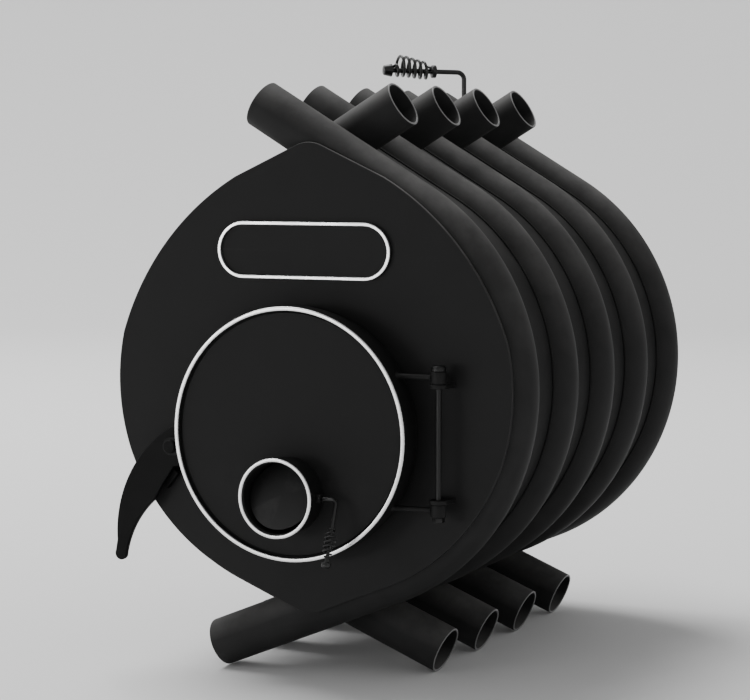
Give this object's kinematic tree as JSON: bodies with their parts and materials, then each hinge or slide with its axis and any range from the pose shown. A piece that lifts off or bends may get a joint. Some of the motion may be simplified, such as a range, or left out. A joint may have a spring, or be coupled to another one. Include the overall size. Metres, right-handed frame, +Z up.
{
  "type": "convection wood stove",
  "caption": "Free-standing convection wood stove of interleaved bent steel tubes between two plates, with a round hinged door, air valve and flue damper.",
  "frame": {"origin": "on the floor, in the plane of symmetry of the tubes, halfway along the row of tubes", "axes": "+Z up, +Y to the back where the flue leaves, +X to the right seen from the front"},
  "size_m": [0.5728, 0.8465, 0.7892],
  "materials": {
    "tube_enamel": "satin black heat-proof paint",
    "strip_enamel": "satin black heat-proof paint",
    "plate_enamel": "matt black heat-proof paint",
    "door_enamel": "matt black heat-proof paint",
    "fired_steel": "heat-stained bare steel",
    "bare_steel": "zinc-plated steel",
    "lever_iron": "black painted cast iron",
    "polished_trim": "polished",
    "grip_wire": "bright plated wire",
    "seal_rope": "braided glass-fibre rope"
  },
  "bodies": {
    "stove": {"tube_right_1": "tube_enamel", "tube_right_2": "tube_enamel", "tube_right_3": "tube_enamel", "tube_right_4": "tube_enamel", "tube_right_5": "tube_enamel", "tube_left_1": "tube_enamel", "tube_left_2": "tube_enamel", "tube_left_3": "tube_enamel", "tube_left_4": "tube_enamel", "strip_right_1": "strip_enamel", "strip_right_2": "strip_enamel", "strip_right_3": "strip_enamel", "strip_right_4": "strip_enamel", "strip_left_front": "strip_enamel", "strip_left_1": "strip_enamel", "strip_left_2": "strip_enamel", "strip_left_3": "strip_enamel", "strip_left_rear": "strip_enamel", "front_plate": "plate_enamel", "back_plate": "plate_enamel", "baffle_plate": "fired_steel", "ash_sill": "fired_steel", "injector_nozzles": "fired_steel", "door_neck": "plate_enamel", "hinge_lugs": "plate_enamel", "hinge_pin": "bare_steel", "hinge_pin_nut": "bare_steel", "latch_keeper": "plate_enamel", "name_plate": "plate_enamel", "name_plate_rim": "polished_trim", "flue_stub": "plate_enamel", "damper_bushes": "bare_steel"},
    "door": {"door_lid": "door_enamel", "door_trim_ring": "polished_trim", "door_seal_rope": "seal_rope", "seal_channel": "fired_steel", "heat_shield": "fired_steel", "shield_spacers": "fired_steel", "shield_studs": "bare_steel", "shield_nuts": "bare_steel", "door_arm_upper": "door_enamel", "door_arm_lower": "door_enamel", "latch_ear": "door_enamel", "latch_pin": "bare_steel", "latch_pin_washer": "bare_steel", "inlet_pipe": "door_enamel", "inlet_trim_ring": "polished_trim", "inlet_bushes": "bare_steel"},
    "latch": {"latch_lever": "lever_iron", "latch_stud": "bare_steel"},
    "air_valve": {"inlet_disc": "bare_steel", "inlet_rod": "bare_steel", "inlet_grip_coil": "grip_wire", "inlet_grip_collars": "grip_wire", "inlet_grip_cap": "grip_wire"},
    "flue_damper": {"damper_disc": "bare_steel", "damper_rod": "bare_steel", "damper_grip_coil": "grip_wire", "damper_grip_collar": "grip_wire", "damper_grip_cap": "grip_wire"}
  },
  "joints": [
    {"name": "door_swing", "type": "hinge", "parent": "stove", "child": "door", "pos_m": [0.184, -0.3353, 0.30882], "axis": [0, 0, 1], "range_deg": [0, 120]},
    {"name": "latch_turn", "type": "hinge", "parent": "door", "child": "latch", "pos_m": [-0.18, -0.3258, 0.28282], "axis": [0, 1, 0], "range_deg": [-14, 75]},
    {"name": "air_valve_turn", "type": "hinge", "parent": "door", "child": "air_valve", "pos_m": [-0.005, -0.3703, 0.23552], "axis": [-1, 0, 0], "range_deg": [-22, 50]},
    {"name": "flue_damper_turn", "type": "hinge", "parent": "stove", "child": "flue_damper", "pos_m": [-0.067, 0.3453, 0.52782], "axis": [0, 0, 1], "range_deg": [-40, 50]}
  ]
}
